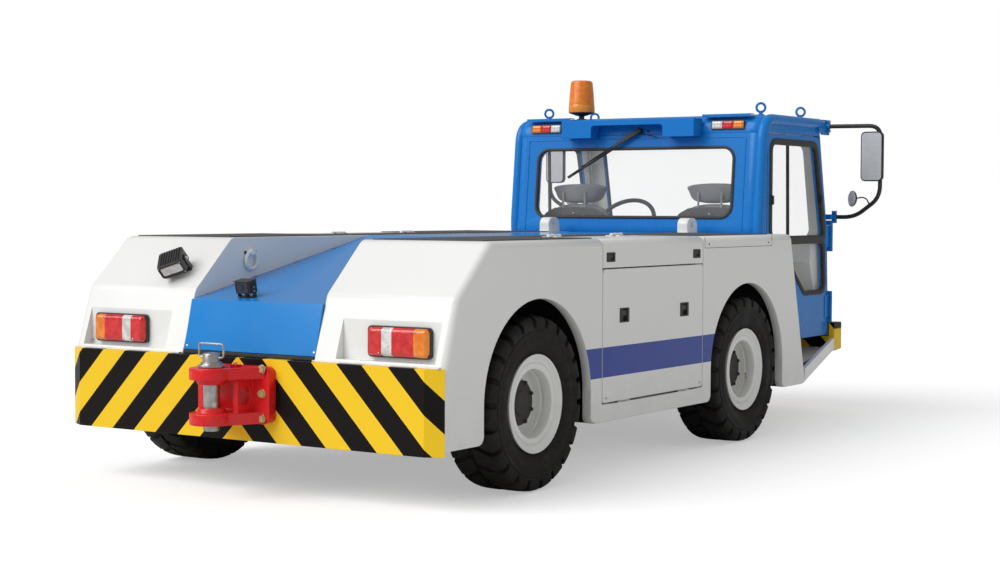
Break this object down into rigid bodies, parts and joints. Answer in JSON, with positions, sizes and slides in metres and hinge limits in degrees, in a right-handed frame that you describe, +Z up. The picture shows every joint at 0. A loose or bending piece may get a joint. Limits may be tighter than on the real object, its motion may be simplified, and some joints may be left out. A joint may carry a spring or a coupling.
{
  "type": "aircraft tow tractor",
  "caption": "Low four-wheel aircraft tow tractor with a flat ballast deck, a forward cab, striped bumpers and a pin hitch at the rear.",
  "frame": {"origin": "on the floor under the middle of the machine's bounding box", "axes": "+X to the machine's right, +Y forward, +Z up"},
  "size_m": [2.524, 5.3449, 2.151],
  "materials": {
    "body_white": "gloss",
    "cab_blue": "gloss",
    "cover_blue": "gloss",
    "cab_inside": "satin",
    "deck_grip": "matt",
    "bumper_paint": "gloss",
    "hitch_red": "gloss",
    "pin_steel": "satin",
    "frame_paint": "satin",
    "engine_iron": "matt",
    "window_glass": "clear",
    "tail_lens": "gloss",
    "beacon_amber": "gloss",
    "head_lens": "gloss",
    "lamp_black": "satin",
    "mirror_black": "satin",
    "seat_shell": "satin",
    "seat_cloth": "matt",
    "tyre_rubber": "matt",
    "rim_paint": "gloss"
  },
  "bodies": {
    "chassis": {"beacon": "beacon_amber", "body_left": "body_white", "body_right": "body_white", "cab_floor": "cab_inside", "cab_front": "cab_blue", "cab_glass": "window_glass", "cab_rear_wall": "cab_blue", "cab_roof": "cab_blue", "cab_side_left": "cab_blue", "cab_side_right": "cab_blue", "cross_plates": "frame_paint", "dashboard": "cab_inside", "deck_plates": "deck_grip", "engine_block": "engine_iron", "engine_cover": "cover_blue", "frame_rails": "frame_paint", "front_axle": "frame_paint", "front_bumper": "bumper_paint", "front_hitch": "hitch_red", "head_lamps": "head_lens", "hitch_pin": "pin_steel", "lifting_lugs": "body_white", "mirror_left": "mirror_black", "mirror_right": "mirror_black", "rear_axle": "frame_paint", "rear_bumper": "bumper_paint", "rear_camera": "lamp_black", "rear_hitch": "hitch_red", "rear_wiper": "lamp_black", "roof_eyes": "cab_blue", "roof_header": "cab_blue", "roof_lamps": "tail_lens", "seat_frames": "seat_shell", "seat_pads": "seat_cloth", "steering_wheel": "lamp_black", "step_left": "body_white", "step_right": "body_white", "tail_lamps": "tail_lens", "tie_hooks": "body_white", "work_lamp": "lamp_black"},
    "cab_door_left": {"door_left": "cab_blue", "door_glass_left": "window_glass"},
    "bay_door_left": {"service_door_left": "body_white"},
    "bay_lid_left": {"service_lid_left": "body_white"},
    "steer_left": {"knuckle_left": "frame_paint"},
    "wheel_front_left": {"tyre_front_left": "tyre_rubber", "rim_front_left": "rim_paint"},
    "wheel_rear_left": {"tyre_rear_left": "tyre_rubber", "rim_rear_left": "rim_paint"},
    "cab_door_right": {"door_right": "cab_blue", "door_glass_right": "window_glass"},
    "bay_door_right": {"service_door_right": "body_white"},
    "bay_lid_right": {"service_lid_right": "body_white"},
    "steer_right": {"knuckle_right": "frame_paint"},
    "wheel_front_right": {"tyre_front_right": "tyre_rubber", "rim_front_right": "rim_paint"},
    "wheel_rear_right": {"tyre_rear_right": "tyre_rubber", "rim_rear_right": "rim_paint"}
  },
  "joints": [
    {"name": "rear_wheel_spin_left", "type": "hinge", "parent": "chassis", "child": "wheel_rear_left", "pos_m": [-0.975, -1.5575, 0.412], "axis": [1, 0, 0], "continuous": true},
    {"name": "steering_left", "type": "hinge", "parent": "chassis", "child": "steer_left", "pos_m": [-0.875, 0.6825, 0.412], "axis": [0, 0, 1], "range_deg": [-28, 28]},
    {"name": "front_wheel_spin_left", "type": "hinge", "parent": "steer_left", "child": "wheel_front_left", "pos_m": [-0.975, 0.6825, 0.412], "axis": [1, 0, 0], "continuous": true},
    {"name": "cab_door_swing_left", "type": "hinge", "parent": "chassis", "child": "cab_door_left", "pos_m": [-0.898, 2.3875, 0.7], "axis": [0, 0, -1], "range_deg": [0, 70]},
    {"name": "bay_door_drop_left", "type": "hinge", "parent": "chassis", "child": "bay_door_left", "pos_m": [-1.117, -0.433, 0.36], "axis": [0, -1, 0], "range_deg": [0, 85]},
    {"name": "bay_lid_lift_left", "type": "hinge", "parent": "chassis", "child": "bay_lid_left", "pos_m": [-0.703, -0.433, 1.183], "axis": [0, 1, 0], "range_deg": [0, 95]},
    {"name": "rear_wheel_spin_right", "type": "hinge", "parent": "chassis", "child": "wheel_rear_right", "pos_m": [0.975, -1.5575, 0.412], "axis": [1, 0, 0], "continuous": true},
    {"name": "steering_right", "type": "hinge", "parent": "chassis", "child": "steer_right", "pos_m": [0.875, 0.6825, 0.412], "axis": [0, 0, 1], "range_deg": [-28, 28]},
    {"name": "front_wheel_spin_right", "type": "hinge", "parent": "steer_right", "child": "wheel_front_right", "pos_m": [0.975, 0.6825, 0.412], "axis": [1, 0, 0], "continuous": true},
    {"name": "cab_door_swing_right", "type": "hinge", "parent": "chassis", "child": "cab_door_right", "pos_m": [0.898, 2.3875, 0.7], "axis": [0, 0, 1], "range_deg": [0, 70]},
    {"name": "bay_door_drop_right", "type": "hinge", "parent": "chassis", "child": "bay_door_right", "pos_m": [1.117, -0.433, 0.36], "axis": [0, 1, 0], "range_deg": [0, 85]},
    {"name": "bay_lid_lift_right", "type": "hinge", "parent": "chassis", "child": "bay_lid_right", "pos_m": [0.703, -0.433, 1.183], "axis": [0, -1, 0], "range_deg": [0, 95]}
  ],
  "couplings": [
    {"joint": "steering_right", "follows": "steering_left", "ratio": 1}
  ]
}
